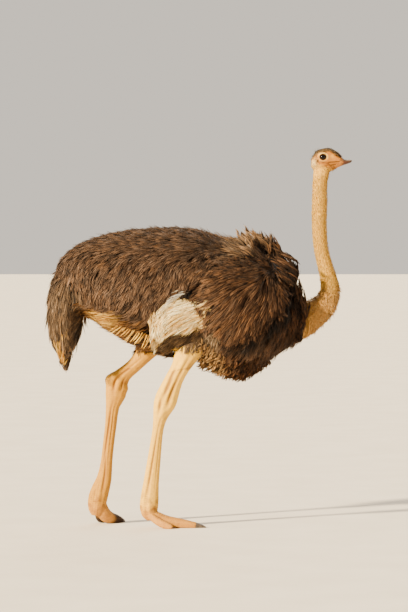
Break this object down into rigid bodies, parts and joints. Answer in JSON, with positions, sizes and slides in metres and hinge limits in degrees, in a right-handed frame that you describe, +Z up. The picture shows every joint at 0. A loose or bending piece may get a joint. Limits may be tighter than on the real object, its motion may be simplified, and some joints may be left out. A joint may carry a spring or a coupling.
{
  "type": "ostrich",
  "caption": "Life-size still model of an adult female ostrich standing in mid-step, with an upright S-shaped neck, shaggy drooping plumage and long bare legs.",
  "frame": {"origin": "on the floor, at the bottom centre of the whole bird's bounding box", "axes": "+X the way the bill points, +Y towards the bird's left side, +Z up"},
  "size_m": [1.3968, 0.5998, 1.7451],
  "materials": {
    "plumage": "matt shaggy brown-grey feathers",
    "pale_plumes": "matt cream wing plumes",
    "neck_down": "matt short buff down",
    "bare_skin": "matt scaly pale skin",
    "bill_horn": "satin horn",
    "nail_horn": "satin dark horn",
    "eye": "polished, very dark brown"
  },
  "bodies": {
    "root": {"bill_lower": "bill_horn", "bill_upper": "bill_horn", "ear_left": "bare_skin", "ear_right": "bare_skin", "eye_left": "eye", "eye_right": "eye", "head": "bare_skin", "nail_left": "nail_horn", "nail_right": "nail_horn", "neck_lower": "neck_down", "neck_middle": "neck_down", "neck_upper": "neck_down", "primaries_left": "pale_plumes", "primaries_right": "pale_plumes", "shank_left": "bare_skin", "shank_right": "bare_skin", "tail": "plumage", "tarsus_left": "bare_skin", "tarsus_right": "bare_skin", "toe_main_left": "bare_skin", "toe_main_right": "bare_skin", "toe_outer_left": "bare_skin", "toe_outer_right": "bare_skin", "trunk": "plumage", "wing_left": "plumage", "wing_right": "plumage"}
  },
  "joints": []
}
